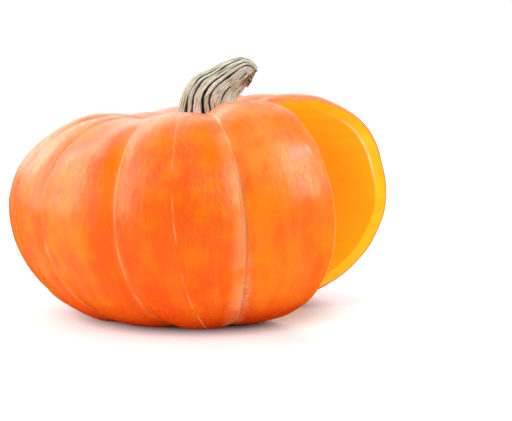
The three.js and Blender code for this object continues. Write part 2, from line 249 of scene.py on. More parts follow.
def piece_of(name, grids, material, marks, sharp=40):
    """A piece from grids of points in metres, welded where they coincide. Each grid's faces look
    outwards when its rows run up and its columns run to the right. A mark is a number or vector
    for every point, which the material reads: one array, or one number, for each grid."""
    points = np.concatenate([grid.reshape(-1, 3) for grid in grids])
    quads, first = [], 0
    for grid in grids:
        at = first + np.arange(grid.shape[0] * grid.shape[1]).reshape(grid.shape[:2])
        corners = [at[:-1, :-1], at[:-1, 1:], at[1:, 1:], at[1:, :-1]]
        quads.append(np.stack(corners, -1).reshape(-1, 4))
        first += at.size
    _, kept, same = np.unique(np.round(points, 8), axis=0, return_index=True, return_inverse=True)
    quads = same.reshape(-1)[np.concatenate(quads)]
    apart = quads != np.roll(quads, -1, axis=1)
    full = quads[apart.all(axis=1)].tolist()
    narrow = apart.sum(axis=1) == 3
    thin = quads[narrow][apart[narrow]].reshape(-1, 3).tolist()
    mesh = bpy.data.meshes.new(name)
    mesh.from_pydata(points[kept].tolist(), [], full + thin)
    mesh.shade_smooth()
    mesh.set_sharp_from_angle(angle=math.radians(sharp))
    for mark, values in marks.items():
        shape = max(np.shape(value)[2:] for value in values)
        column = np.concatenate([np.broadcast_to(value, grid.shape[:2] + shape).reshape(-1, *shape)
                                 for value, grid in zip(values, grids)])[kept]
        kind, field = ("FLOAT_VECTOR", "vector") if shape else ("FLOAT", "value")
        layer = mesh.attributes.new(mark, kind, "POINT")
        layer.data.foreach_set(field, column.astype(np.float32).ravel())
    mesh.materials.append(material)
    piece = bpy.data.objects.new(name, mesh)
    bpy.context.collection.objects.link(piece)
    return piece


def patchwork(patches, azimuth, rise):
    """The sum of bells of the given strengths round the given azimuths and rises."""
    total = 0
    for middle, level, width, reach, strength in patches:
        aside = turned_from(azimuth, middle)
        total = total + strength * np.exp(-(aside / width) ** 2 - ((rise - level) / reach) ** 2)
    return total


class Level:
    """What a node puts out at each point of a surface: a number, a colour or a direction. The
    usual signs between levels, or a level and a number, add the Math node that works it out."""

    def __init__(self, node, output=0):
        self.tree, self.socket = node.id_data, node.outputs[output]

    def maths(self, operation, *values):
        return Level(add_node(self.tree, "Math", dict(enumerate(values)), operation=operation))

    def __add__(self, other):
        return self.maths("ADD", self, other)

    def __mul__(self, other):
        return self.maths("MULTIPLY", self, other)

    def __sub__(self, other):
        return self.maths("SUBTRACT", self, other)

    def __rsub__(self, other):
        return self.maths("SUBTRACT", other, self)

    def __abs__(self):
        return self.maths("ABSOLUTE", self)


def connect(node, inputs):
    """Gives a node its inputs, each a value or a level."""
    for socket, value in inputs.items():
        if isinstance(value, Level):
            value.tree.links.new(value.socket, node.inputs[socket])
        else:
            node.inputs[socket].default_value = value


def add_node(tree, kind, inputs=None, **settings):
    """A node with its settings and inputs."""
    node = tree.nodes.new("ShaderNode" + kind)
    for setting, value in settings.items():
        setattr(node, setting, value)
    connect(node, inputs or {})
    return node


def mark_of(tree, name, output="Fac"):
    """What the mesh's own mark of this name says."""
    return Level(add_node(tree, "Attribute", attribute_name=name), output)


def stretched(vector, scale):
    """Places at which a pattern is drawn out wherever a scale is small."""
    return Level(add_node(vector.tree, "Mapping", {"Vector": vector, "Scale": scale}))


def part_of(vector, axis):
    """The X, Y or Z of a place or direction."""
    return Level(add_node(vector.tree, "SeparateXYZ", {0: vector}), axis)


def noise(vector, scale, detail=3, roughness=0.5):
    """Cloudy noise round 0.5."""
    return Level(add_node(vector.tree, "TexNoise", {
        "Vector": vector, "Scale": scale, "Detail": detail, "Roughness": roughness}))


def specks(vector, scale):
    """The distance from the nearest of many scattered points."""
    return Level(add_node(vector.tree, "TexVoronoi", {"Vector": vector, "Scale": scale}),
                 "Distance")


def scaled(value, low, high, to_low=0, to_high=1):
    """Value from low to high becomes a smooth passage from to_low to to_high."""
    return Level(add_node(value.tree, "MapRange", {
        0: value, 1: low, 2: high, 3: to_low, 4: to_high}, interpolation_type="SMOOTHSTEP"))


def opaque(colour):
    """A level as it is, or amounts of red, green and blue light from 0 to 1 as a solid colour."""
    return colour if isinstance(colour, Level) else (*colour, 1)


def layered(colour, *coats):
    """A colour under coats from the lowest to the uppermost, each an amount from 0 to 1 and its
    colour. 6 and 7 are the colour inputs of the Mix node, and 2 is its output."""
    for amount, coat in coats:
        colour = Level(add_node(amount.tree, "Mix", {
            0: amount, 6: opaque(colour), 7: opaque(coat)}, data_type="RGBA"), 2)
    return colour


def ramp(value, *stops):
    """A colour for each value: stops are (place, colour) from 0 to 1."""
    node = add_node(value.tree, "ValToRGB", {0: value})
    elements = node.color_ramp.elements
    while len(elements) < len(stops):
        elements.new(0.5)
    for element, (place, colour) in zip(elements, stops):
        element.position, element.color = place, opaque(colour)
    return Level(node)


def bump(height, distance, strength):
    """Which way a surface faces where its height, times a distance in metres, rises and falls."""
    return Level(add_node(height.tree, "Bump", {
        "Height": height, "Distance": distance, "Strength": strength}))


def new_material(name, **values):
    """A material, its node tree, its shader, and places on the piece in metres. Values set the
    shader's own sockets."""
    material = bpy.data.materials.new(name)
    material.use_nodes = True
    tree = material.node_tree
    shader = tree.nodes["Principled BSDF"]
    connect(shader, {socket.replace("_", " "): value for socket, value in values.items()})
    return material, tree, shader, Level(add_node(tree, "TexCoord"), "Object")


# Grain: how any tissue of the plant is streaked along its growth and blotched across it.
grain_effect = bpy.data.node_groups.new("grain", "ShaderNodeTree")
for way, kind, socket in (
        ("INPUT", "Vector", "Along"), ("INPUT", "Float", "Fineness"),
        ("INPUT", "Float", "Sharpness"), ("INPUT", "Vector", "Place"),
        ("INPUT", "Float", "Blotches"), ("OUTPUT", "Float", "Streaks"),
        ("OUTPUT", "Float", "Mottling")):
    grain_effect.interface.new_socket(socket, in_out=way, socket_type="NodeSocket" + kind)
grain_in = grain_effect.nodes.new("NodeGroupInput")
grain_out = grain_effect.nodes.new("NodeGroupOutput")
half_span = 0.32 - Level(grain_in, "Sharpness")
connect(grain_out, {
    "Streaks": scaled(noise(Level(grain_in, "Along"), Level(grain_in, "Fineness"), 4, 0.62),
                      0.5 - half_span, half_span + 0.5),
    "Mottling": scaled(noise(Level(grain_in, "Place"), Level(grain_in, "Blotches")), 0.28, 0.72)})


def grain(along, fineness, sharpness, place, blotches):
    """The streaks and the mottling of the grain."""
    node = add_node(place.tree, "Group", {
        "Along": along, "Fineness": fineness, "Sharpness": sharpness, "Place": place,
        "Blotches": blotches}, node_tree=grain_effect)
    return Level(node, "Streaks"), Level(node, "Mottling")


skin, skin_azimuth, skin_rise = sheet(RIND)
under_skin, _, _ = sheet(grown(RIND, -RIND_THICKNESS), every=4)

lobe_here, passed_here, width_here, nearest_groove = between_grooves(LOBES[:, 0], skin_azimuth)
skin_radius = np.hypot(skin[..., 0], skin[..., 1])
per_degree = np.radians(1) * skin_radius
from_groove = np.minimum(passed_here, 1 - passed_here) * width_here * per_degree
faint_crease = -7.5 + 3 * smooth_step(-skin_rise, 20, 60)
skin_turn = np.radians(skin_azimuth)
skin_marks = {                  # on the skin, and on the faces of the rind that don't show it
    "from_groove": (from_groove, 30),
    "vein": (VEIN[nearest_groove] * smooth_step(skin_radius, 22, 60), 0),
    "off_crease": (turned_from(skin_azimuth, faint_crease) * per_degree, 30),
    "off_scar": (turned_from(skin_azimuth, NEAR_LOBE) * per_degree, 60),
    "rise": (skin_rise / 90, 0),
    "gold": (GOLD[lobe_here] * smooth_step(from_groove, 0, 12), 0),
    "tone_and_light": (patchwork(TONES_AND_LIGHT, skin_azimuth, skin_rise), 0),
    "dull": (patchwork(DULL, skin_azimuth, skin_rise), 0),
    "hair": (HAIR[nearest_groove] * smooth_step(skin_rise, 20, 35), 0),
    "from_cut": (from_gap(skin), 0),
    "follow": (stacked(np.sin(skin_turn), -np.cos(skin_turn), skin_rise / 90), np.zeros(3)),
}
rind_marks = {mark: (shown, hidden, hidden, hidden)
              for mark, (shown, hidden) in skin_marks.items()}

rind_material, tree, shader, place = new_material(
    "rind", Roughness=0.3, IOR=1.45, Specular_IOR_Level=0.26)
rise, off_groove, off_scar, off_crease, vein, gold, tone_and_light, dull = [mark_of(tree, mark) for mark in (
    "rise", "from_groove", "off_scar", "off_crease", "vein", "gold", "tone_and_light", "dull")]
along_skin = mark_of(tree, "follow", "Vector")
long_way, short_way = stretched(along_skin, (1, 1, 0.2)), stretched(along_skin, (1, 1, 0.45))
streaks, blotches = grain(long_way, 11, 0.12, place, 17)
strokes, spots = grain(short_way, 75, 0.2, place, 62)
patches = spots * 0.42 + (blotches + streaks) * 0.29
wander = (noise(place, 75) - 0.5) * 2
worn = scaled(noise(place, 48), 0.38, 0.6, 0.25, 1)
upper = scaled(rise, -0.25, 0.75)

# Paler towards the top: partly the skin's own wax, partly painted sheen of the light on the upper
# lobes.
bloom_and_sheen = scaled(strokes + spots, 0.4, 1.5, 0.15, 1) * upper
flush = scaled(noise(long_way, 9, 4, 0.65), 0.5, 0.66, 0, 0.4) * scaled(rise, -0.75, -0.2)
scratch = noise(stretched(along_skin, (1, 1, 0.3)), 150, 3, 0.7)
rubbed = scaled(noise(place, 30), 0.42, 0.6, 0.2, 1)
dark_scratch = (scaled(scratch, 0.56, 0.68, 0, 0.45) * rubbed
                * scaled(rise, -0.5, 0.3, 0.3, 1))
pale_scratch = scaled(scratch, 0.32, 0.43, 0.5, 0) * rubbed * upper
# Paler and deeper patches, mostly the skin's own; two of them are a painted highlight and painted
# shade.
paler = scaled(tone_and_light, 0, 0.9) * scaled(patches, 0.25, 0.7, 0.45, 1) * 0.65
deeper = scaled(tone_and_light, 0, -0.8) * scaled(patches, 0.25, 0.75, 1, 0.55)
speck = scaled(specks(place, 210), 0.05, 0.17, 0.5, 0) * scaled(spots, 0.5, 0.8)

beside_vein = (scaled(off_groove, 0.5, 5, 0.5, 0) * worn
               * scaled(vein, 0.45, 1, 0.1, 0.9))
vein_line = scaled(off_groove + wander, 0.15, 0.85, 0.8, 0) * vein * worn
hair = scaled(off_groove + wander * 0.5, 0.15, 0.6, 0.6, 0) * mark_of(tree, "hair")
band = (scaled(off_scar + wander * 2.5, -12, -2) * scaled(off_scar, -0.6, 0.6, 1, 0)
        * worn * scaled(rise, -0.45, -0.25, 0.7, 0.52))
seam = (scaled(abs(off_scar - (wander * 1.2 + 0.9)), 0.3, 1.7, 0.55, 0) * worn
        * scaled(rise, 0.35, 0.1) * scaled(rise, -0.75, -0.45, 0.25, 1))
crease = (scaled(abs(off_crease + wander), 0.1, 0.65, 1, 0)
          * scaled(noise(place, 38), 0.36, 0.54) * 0.62)
scar_edge = off_scar + wander * 2.6
scar = (scaled(scar_edge, 0.2, 2) * scaled(scar_edge, 2.6, 5.8, 1, 0) * worn
        * scaled(rise, -0.05, -0.3) * scaled(rise, -0.84, -0.7))
scales = scaled(noise(place, 620), 0.45, 0.62)

PALE_VEIN = (0.91, 0.43, 0.21)
colour = layered(
    ramp(patches, (0.2, (0.87, 0.088, 0.0001)), (0.42, (0.88, 0.112, 0.0001)),
         (0.6, (0.90, 0.142, 0.0002)), (0.85, (0.92, 0.205, 0.0003))),
    (gold * scaled(patches, 0.3, 0.7, 0.3, 0.75), (0.92, 0.225, 0.0003)),
    (bloom_and_sheen * 0.5, (0.92, 0.26, 0.010)),
    (flush, (0.93, 0.21, 0.020)),
    (dark_scratch, (0.74, 0.085, 0.003)),
    (pale_scratch, (0.94, 0.34, 0.06)),
    (paler, (0.93, 0.31, 0.055)),
    (deeper, (0.87, 0.105, 0.0002)),
    (scaled(dull, 0, 1, 0, 0.45), (0.92, 0.215, 0.0003)),
    (speck, (0.92, 0.30, 0.03)),
    # Painted shade: the skin turns deeper orange towards the bottom and dark red-brown low down,
    # where the underside is in shade.
    (scaled(rise, -0.25, -0.85, 0, 0.6), (0.86, 0.090, 0.0003)),
    (scaled(rise, -0.35, -0.58, 0, 0.92), (0.60, 0.042, 0.0002)),
    (beside_vein, (0.91, 0.27, 0.045)),
    (vein_line, PALE_VEIN),
    (hair, (0.62, 0.15, 0.03)),
    (band, (0.92, 0.36, 0.13)),
    (seam, (0.55, 0.13, 0.035)),
    (crease, PALE_VEIN),
    (scar * 0.62, layered((0.90, 0.38, 0.19), (scales, (0.66, 0.16, 0.05)))),
    # Painted highlight: a thin pale strip along the cut edge of the skin, where its rim catches the
    # light.
    (scaled(mark_of(tree, "from_cut"), 0.1, 1.2, 0.7, 0), (0.93, 0.44, 0.11)))
relief = (strokes * 0.25 + noise(short_way, 22, 2) * 1.6 + scar * scales
          - (vein_line + dark_scratch + seam))
connect(shader, {
    "Base Color": colour,
    "Roughness": (spots * -0.5 + strokes * 0.5) * 0.16 + 0.28,
    "Specular IOR Level": scaled(dull, 0, 1, 0.26, 0.05) * scaled(rise, -0.5, -0.33, 0.3, 1),
    "Normal": bump(relief, 0.0004, 0.8)})

laid_skin, laid_under = lie_down(skin), lie_down(under_skin, RIND_THICKNESS)
rind = piece_of("rind", [
    laid_skin,
    laid_under[:, ::-1],
    ruled(cut_rows(laid_skin)[:, -1], cut_rows(laid_under)[:, -1], 2),
    ruled(cut_rows(laid_under)[:, 0], cut_rows(laid_skin)[:, 0], 2),
], rind_material, rind_marks)
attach(rind, "root")
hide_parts("fruit_wall")

# ------------------------------ the flesh
# Firm golden flesh, 35 to 50 mm thick, fills the space between the skin and the zone of the
# seeds. The knife left two smooth, moist faces, yellower towards the skin.

SEED_ZONE = dict(radius=90, side_power=2.6, top=42, top_power=2.2, top_dip=20, top_dip_width=40,
                 bottom=52, bottom_power=1.9, bottom_dip=7, bottom_dip_width=26,
                 groove=0.035, uneven=0.0)
FACE_STEPS = 66                 # from the skin to the seeds
KNIFE_STEP = 0.5                # where the knife was set again, the outermost strip stands out
KNIFE_WAVES, KNIFE_RIPPLES = 0.25, 0.06

seed_wall, _, _ = sheet(SEED_ZONE, every=6)
near_face = ruled(cut_rows(under_skin)[:, -1], cut_rows(seed_wall)[:, -1], FACE_STEPS)
far_face = ruled(cut_rows(seed_wall)[:, 0], cut_rows(under_skin)[:, 0], FACE_STEPS)
from_skin = np.broadcast_to(np.linspace(0, 1, FACE_STEPS + 1), near_face.shape[:2])
up_the_cut = np.linspace(0, 1, len(near_face))[:, None]
held = np.clip(np.sin(math.pi * from_skin) ** 0.5, 0, None) * smooth_step(
    np.minimum(up_the_cut, 1 - up_the_cut), 0, 0.04)
for face, opening, depth in ((near_face, NEAR_LOOK, from_skin),
                             (far_face, FAR_LOOK, from_skin[:, ::-1])):
    sunk = KNIFE_WAVES * (1 + swells(face, 12, 8)) + KNIFE_RIPPLES * swells(face, 2.5, 9)
    step = KNIFE_STEP * smooth_step(depth, 0.15, 0.165)
    sunk = np.clip(sunk, -0.1, 0.8) + step
    face[..., :2] -= (held * sunk)[..., None] * heading(opening)

flesh_marks = {
    "from_skin": (0, 1, from_skin, from_skin[:, ::-1]),
}
flesh_material, tree, shader, place = new_material(
    "flesh", Roughness=0.5, IOR=1.4, Specular_IOR_Level=0.08, Subsurface_Weight=0.2,
    Subsurface_Radius=(1, 0.45, 0.08), Subsurface_Scale=0.005)
skinward = mark_of(tree, "from_skin") + (noise(place, 22, 2) - 0.5) * 0.03
grains, pallor = grain(stretched(place, (0.25, 0.25, 1)), 520, 0.05, place, 35)
fibres, moisture = grain(stretched(place, (0.12, 0.12, 1)), 110, 0.1, place, 120)
inward, height = part_of(place, "Y"), part_of(place, "Z")
# Partly painted light: the paler yellow strip by the skin, high on the faces, is the flesh's own
# yellow and the light on the knife's outer facet.
strip = scaled(skinward, 0.165, 0.15) * scaled(height, 0.156, 0.128)
# Painted highlight: a pale line where the outer facet meets the face, standing in for the wet glint
# along that edge.
knife_glint = (scaled(abs(skinward - 0.152), 0.010, 0.026, 0.95, 0)
              * scaled(height, 0.150, 0.126) * scaled(height, 0.086, 0.104)
              * scaled(inward, -0.011, -0.004))
colour = layered(
    ramp(skinward, (0, (0.93, 0.56, 0.004)), (0.08, (0.92, 0.44, 0.0008)),
         (0.35, (0.92, 0.36, 0.0002)), (0.8, (0.91, 0.265, 0.0002)),
         (0.96, (0.90, 0.24, 0.0003)), (1, (0.88, 0.30, 0.002))),
    (strip, (0.94, 0.67, 0.018)),
    (knife_glint, (0.98, 0.82, 0.34)),
    (grains * 0.14, (0.95, 0.46, 0.005)),
    (fibres * 0.22, (0.88, 0.235, 0.0003)),
    (pallor * 0.25, (0.89, 0.24, 0.0002)))
connect(shader, {"Base Color": colour, "Roughness": moisture * -0.2 + 0.55,
                 "Normal": bump(grains + fibres, 0.0002, 0.6)})

flesh = piece_of("flesh", [
    lie_down(under_skin, RIND_THICKNESS),
    lie_down(seed_wall)[:, ::-1],
    lie_down(near_face, RIND_THICKNESS),
    lie_down(far_face, RIND_THICKNESS),
], flesh_material, flesh_marks)
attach(flesh, "root")
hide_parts("fruit_wall")

# ------------------------------ the pulp
# Wet, stringy tissue that fills the seed zone. It has sunk away from the heart of the fruit,
# where the cuts open an uneven red-orange hollow, and each seed lies in a pocket of its own.

PULP_ROWS = 190
FACE_COLUMNS = 84
HEART_LEVEL, HEART_BEHIND = -12, 12     # of the heart's middle, and how far behind the apex
HOLLOW_DEPTH = 24
TURNING = 4, 17                 # where the hollow's wall turns into a cut face, from the apex
SEED_ROWS = (                   # distance from the apex, lowest and highest level, seeds
    (19, -38, 12, 5), (39, -35, 23, 5), (58, -19, 15, 3))
SEED_LENGTH, SEED_WIDTH, SEED_THICK = 17, 7.4, 5.6
POCKET_LENGTH, POCKET_WIDTH, POCKET_DEPTH = 23, 8.8, 3.6
DRAW_FACTOR, DRAW_LIMIT = 16807, 2147483647

drawn = 7


def jitter():
    """A repeatable draw between -1 and 1: each draw is the last one times the factor, less whole
    multiples of the limit."""
    global drawn
    drawn = drawn * DRAW_FACTOR % DRAW_LIMIT
    return 2 * drawn / DRAW_LIMIT - 1


def about(middle, spread):
    """A draw up to the spread to either side of the middle."""
    return middle + spread * jitter()


def face_seeds():
    """The seeds of one cut face, each as its distance from the apex, its level, the angle at
    which it points upwards, and its size."""
    seeds = []
    for row_out, lowest, highest, count in SEED_ROWS:
        for index in range(count):
            height = lowest + (highest - lowest) * index / (count - 1)
            out, level = about(row_out, 2.5), about(height, 1.2)
            fan = math.radians(0.55 * (level + 8) + 6 * jitter())
            seeds.append((out, level, fan, about(0.92, 0.12)))
    return seeds


def sunk_pulp(out, level, seeds, seed):
    """How far the pulp of a cut face lies below the knife's plane. Every seed has a rounded
    pocket with a swollen lip, fibres run outwards from the heart, and the face falls into the
    hollow along a steep bell."""
    depth = np.zeros_like(out)
    for seed_out, seed_level, fan, size in seeds:
        far, up = out - seed_out, level - seed_level
        along = (far * math.cos(fan) + up * math.sin(fan) - 2) / (POCKET_LENGTH * size / 2)
        across = (up * math.cos(fan) - far * math.sin(fan)) / (POCKET_WIDTH * size / 2)
        edge = np.hypot(along, across)
        depth = np.maximum(depth, POCKET_DEPTH * np.sqrt(np.clip(1 - edge ** 2, 0, None)))
        depth = depth - 0.55 * bell(edge - 1.12, 0.13)
    beyond, above = out + HEART_BEHIND, level - HEART_LEVEL
    wavy = stacked(np.arctan2(above, beyond) * 70, np.hypot(above, beyond) * 0.13, 0 * out)
    depth = depth + 0.28 * swells(wavy, 0.9, seed) + 0.35 * swells(wavy, 2.6, seed + 1)
    face = stacked(out, level, 0 * out)
    depth = depth + 0.5 * swells(face, 5.5, seed + 2)
    ragged = 1 + 0.16 * swells(face, 3.0, seed + 3)
    from_heart = np.hypot(out / 15, above / 25) * ragged
    return depth + HOLLOW_DEPTH * np.exp(-from_heart ** 3)


def unit(ways):
    """Directions divided by their lengths."""
    return ways / np.linalg.norm(ways, axis=-1, keepdims=True)


open_near, open_far = heading(NEAR_LOOK), heading(FAR_LOOK)
open_both = unit(open_near + open_far)
CUT_FACES = (                   # azimuth, the way it looks, its seeds, seed of its swells
    (NEAR_CUT, open_near, face_seeds(), 21), (FAR_CUT, open_far, face_seeds(), 31))


def facing_from(out, opening):
    """The way in which the pulp looks: straight out of the gap at its apex, and turning to the
    knife's own plane farther out."""
    return unit(open_both + (opening - open_both) * smooth_step(out, *TURNING)[..., None])


pulp_back, _, _ = sheet(grown(SEED_ZONE, -0.05), every=6, rows=PULP_ROWS)
share = np.linspace(0, 1, FACE_COLUMNS + 1)[None, :, None] ** 1.15
rims = cut_rows(pulp_back)[:, -1], cut_rows(pulp_back)[:, 0]
apex_line = stacked(*APEX, np.linspace(rims[0][0, 2], rims[0][-1, 2], PULP_ROWS))
apex_line[[0, -1]] = rims[0][[0, -1]]
upward = np.linspace(0, 1, PULP_ROWS)[:, None]
pulp_held = smooth_step(1 - share[..., 0], 0, 0.04) * smooth_step(
    np.minimum(upward, 1 - upward), 0, 0.03)
pulp_faces, sunk_marks = [], []
for rim, (_, opening, seeds, seed) in zip(rims, CUT_FACES):
    face = apex_line[:, None] * (1 - share) + rim[:, None] * share
    out = np.hypot(face[..., 0] - APEX[0], face[..., 1] - APEX[1])
    depth = sunk_pulp(out, face[..., 2], seeds, seed) * pulp_held
    face[..., :2] -= depth[..., None] * facing_from(out, opening)
    pulp_faces.append(face)
    sunk_marks.append(depth)
middle = (sunk_marks[0][:, 0] + sunk_marks[1][:, 0]) / 2
for face, depth in zip(pulp_faces, sunk_marks):
    face[:, 0] = apex_line
    face[:, 0, :2] -= middle[:, None] * open_both
    depth[:, 0] = middle

pulp_marks = {
    "sunk": (0, sunk_marks[0][:, ::-1], sunk_marks[1]),
    "out": (1, share[..., 0][:, ::-1], share[..., 0]),
}
pulp_material, tree, shader, place = new_material(
    "pulp", Roughness=0.3, IOR=1.4, Subsurface_Weight=0.35,
    Subsurface_Radius=(1, 0.4, 0.06), Subsurface_Scale=0.005)
streaks, blotches = grain(stretched(place, (0.2, 0.2, 1)), 600, 0.1, place, 90)
speck = scaled(specks(place, 260), 0.06, 0.2, 0.6, 0) * scaled(blotches, 0.55, 0.8)
colour = layered(
    ramp(blotches, (0, (0.92, 0.26, 0.002)), (0.55, (0.95, 0.36, 0.005)),
         (1, (0.97, 0.47, 0.016))),
    (streaks * 0.35, (0.97, 0.50, 0.03)),
    # Deeper red-orange where the pulp lies deeper: partly the wet tissue's own colour, partly
    # painted shade in the hollow and the seed pockets.
    (scaled(mark_of(tree, "sunk"), 1.5, 9), (0.78, 0.13, 0.001)),
    (speck, (0.66, 0.15, 0.001)),
    (scaled(mark_of(tree, "out"), 0.86, 1, 0, 0.8), (0.92, 0.30, 0.003)))
connect(shader, {"Base Color": colour, "Normal": bump(streaks, 0.0005, 0.7)})

pulp = piece_of("pulp", [
    lie_down(pulp_back),
    lie_down(pulp_faces[0])[:, ::-1],
    lie_down(pulp_faces[1]),
], pulp_material, pulp_marks, sharp=180)
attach(pulp, "root")
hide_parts("seed_pulp")

# ------------------------------ the strings
# Wet strings of the pulp. Six hang slack down the hollow, close to its wall, and many finer ones
# lie over the cut faces, drawn outwards between the seeds.

HOLLOW_STRINGS = (              # face, distance from the apex at the lower and the upper end
    (0, 4, 9), (0, 8, 4), (0, 12, 12), (1, 3, 7), (1, 8, 9), (1, 13, 10))
HOLLOW_LEVELS = -36, 10         # of their two ends
FACE_STRINGS = 21               # on each cut face
STARTS_OUT, STARTS_LEVEL, LENGTHS = (31, 19), (-6, 27), (17, 9)     # middle, and spread round it
HOLLOW_RADII, FACE_RADII = (1.0, 0.2), (0.36, 0.12)
HOLLOW_STEPS, FACE_STRING_STEPS = 43, 21


def over_pulp(face, out, level, lift):
    """Points raised by lift over the pulp of a cut face, 0 the near one and 1 the far one, and the
    direction in which the pulp looks there."""
    cut, opening, seeds, seed = CUT_FACES[face]
    facing = facing_from(out, opening)
    above = lift - sunk_pulp(out, level, seeds, seed)
    level_points = APEX + out[..., None] * heading(cut) + above[..., None] * facing
    return (np.concatenate([level_points, level[..., None]], -1),
            np.concatenate([facing, 0 * facing[..., :1]], -1))


def string_grid(path, radius, sides):
    """A string along a path, round in section. Its radius follows the fourth root of a sine, from
    nothing at one end to nothing at the other."""
    ahead = unit(np.gradient(path, axis=0))
    across = unit(np.cross(ahead, (0.8, 0.5, 0.33)))
    other = np.cross(ahead, across)
    turn = np.linspace(0, 2 * math.pi, sides + 1)[None, :, None]
    thick = radius * np.sin(np.linspace(0, math.pi, len(path)))[:, None, None] ** 0.25
    thick[[0, -1]] = 0
    grid = path[:, None] + thick * (np.cos(turn) * across[:, None] + np.sin(turn) * other[:, None])
    grid[:, -1] = grid[:, 0]
    return grid


string_grids = []
passed = np.linspace(0, 1, HOLLOW_STEPS + 1)
for face, low_out, high_out in HOLLOW_STRINGS:
    out = low_out + (high_out - low_out) * passed + about(1.5, 1) * np.sin(
        2 * math.pi * (passed + jitter()))
    level = HOLLOW_LEVELS[0] + (HOLLOW_LEVELS[1] - HOLLOW_LEVELS[0]) * passed + 2 * jitter()
    lift = about(4.5, 2.5) * np.sin(math.pi * passed) - 0.6
    path, _ = over_pulp(face, np.clip(out, 1.5, None), level, lift)
    string_grids.append(string_grid(path, about(*HOLLOW_RADII), 8))
passed = np.linspace(0, 1, FACE_STRING_STEPS + 1)
arch = np.sin(math.pi * passed)
for index in range(2 * FACE_STRINGS):
    start_out, start_level = about(*STARTS_OUT), about(*STARTS_LEVEL)
    angle = about(math.atan2(start_level - HEART_LEVEL, start_out + HEART_BEHIND), 0.35)
    length, bow = about(*LENGTHS), about(0, 0.35)
    out = start_out + length * passed * math.cos(angle) - bow * length * arch * math.sin(angle)
    level = start_level + length * passed * math.sin(angle) + bow * length * arch * math.cos(angle)
    lift = about(0.7, 0.5) * arch - 0.15
    path, _ = over_pulp(index % 2, out, level, lift)
    string_grids.append(string_grid(path, about(*FACE_RADII), 6))

strings_material, tree, shader, place = new_material(
    "strings", Roughness=0.25, IOR=1.4, Specular_IOR_Level=0.4, Subsurface_Weight=0.4,
    Subsurface_Radius=(1, 0.45, 0.08), Subsurface_Scale=0.002)
streaks, blotches = grain(place, 500, 0.1, place, 140)
colour = layered(
    ramp(blotches, (0, (0.88, 0.27, 0.004)), (0.5, (0.93, 0.40, 0.012)),
         (1, (0.95, 0.52, 0.05))),
    (streaks * 0.3, (0.90, 0.28, 0.004)))
connect(shader, {"Base Color": colour, "Normal": bump(streaks, 0.0002, 0.6)})

strings = piece_of("strings", [lie_down(grid) for grid in string_grids], strings_material, {},
                   sharp=180)
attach(strings, "root")
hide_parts("seed_pulp")

# ------------------------------ the seeds
# Plump cream seeds, pointed where they grew from the pulp, with a thin rounded rim. They lie in
# rows in their pockets on both cut faces, and a few cling to the wall of the hollow.

HOLLOW_SEEDS = (                # face, distance from the apex, level, angle of the tip
    (0, 8, -2, 70), (0, 9, -24, 115), (1, 7, -7, 95), (1, 10, -20, 60), (1, 6, 5, 120))
SEED_GRID = (17, 22)            # rows from tail to tip, and columns round a seed
SEED_STANDS = 1.2               # out of the knife's plane


def seed_grid(centre, along, through, length, width, thickness):
    """A seed: its width is (1 + a)^0.8 (1 - a)^0.5 at the share a of its half length from the
    middle, its section is an oval with flattened faces, and its edge stands out as a rim."""
    along, through = along / np.linalg.norm(along), through / np.linalg.norm(through)
    across = np.cross(through, along)
    a = -np.cos(np.linspace(0, math.pi, SEED_GRID[0]))[:, None]
    turn = np.linspace(0, 2 * math.pi, SEED_GRID[1] + 1)[None, :]
    spread = np.clip(1 + a, 0, None) ** 0.8 * np.clip(1 - a, 0, None) ** 0.5 / 1.036
    side, face = np.sin(turn), -np.cos(turn)
    rim = 1 + 0.07 * np.exp(-(face / 0.28) ** 2)
    face = np.sign(face) * np.abs(face) ** 0.85
    grid = (centre + a[..., None] * along * length / 2
            + (spread * side * rim)[..., None] * across * width / 2
            + (spread * face)[..., None] * through * thickness / 2)
    grid[:, -1] = grid[:, 0]
    grid[0], grid[-1] = grid[0, 0], grid[-1, 0]
    return grid


seed_grids = []
for cut, opening, seeds, _ in CUT_FACES:
    through = np.array([*opening, 0.0])
    for out, level, fan, size in seeds:
        centre = np.array([*(APEX + out * heading(cut)), level]) + through * (
            SEED_STANDS - SEED_THICK / 2)
        along = np.array([*(math.cos(fan) * heading(cut)), math.sin(fan)])
        seed_grids.append(seed_grid(centre, along, through, SEED_LENGTH * size,
                                    SEED_WIDTH * size, SEED_THICK))
for face, out, level, tip in HOLLOW_SEEDS:
    centre, facing = over_pulp(face, np.array(float(out)), np.array(float(level)), 1.0)
    sideways = np.cross(facing, (0, 0, 1))
    along = sideways * math.cos(math.radians(tip)) + np.array([0, 0, math.sin(math.radians(tip))])
    seed_grids.append(seed_grid(centre, along - facing * (along @ facing), facing,
                                0.9 * SEED_LENGTH, 0.9 * SEED_WIDTH, 0.85 * SEED_THICK))
seeds_material, tree, shader, place = new_material(
    "seeds", Roughness=0.28, IOR=1.45, Subsurface_Weight=0.2,
    Subsurface_Radius=(1, 0.6, 0.3), Subsurface_Scale=0.002)
streaks, blotches = grain(place, 420, 0.05, place, 150)
colour = layered(
    ramp(blotches, (0, (0.78, 0.42, 0.12)), (0.5, (0.82, 0.55, 0.28)),
         (1, (0.86, 0.66, 0.42))),
    (streaks * 0.2, (0.70, 0.32, 0.06)))
connect(shader, {"Base Color": colour, "Normal": bump(streaks, 0.0001, 0.5)})

seeds = piece_of("seeds", [lie_down(grid) for grid in seed_grids], seeds_material, {})
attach(seeds, "root")
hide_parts("seed_pulp")

# ------------------------------ the stalk
# A dry, corky stalk that flares where it grips the fruit, bends to the right and ends where it
# was snapped off. Pale ridges run up it with dark grooves between them. The two cuts trimmed its
# foot on the side of the gap.

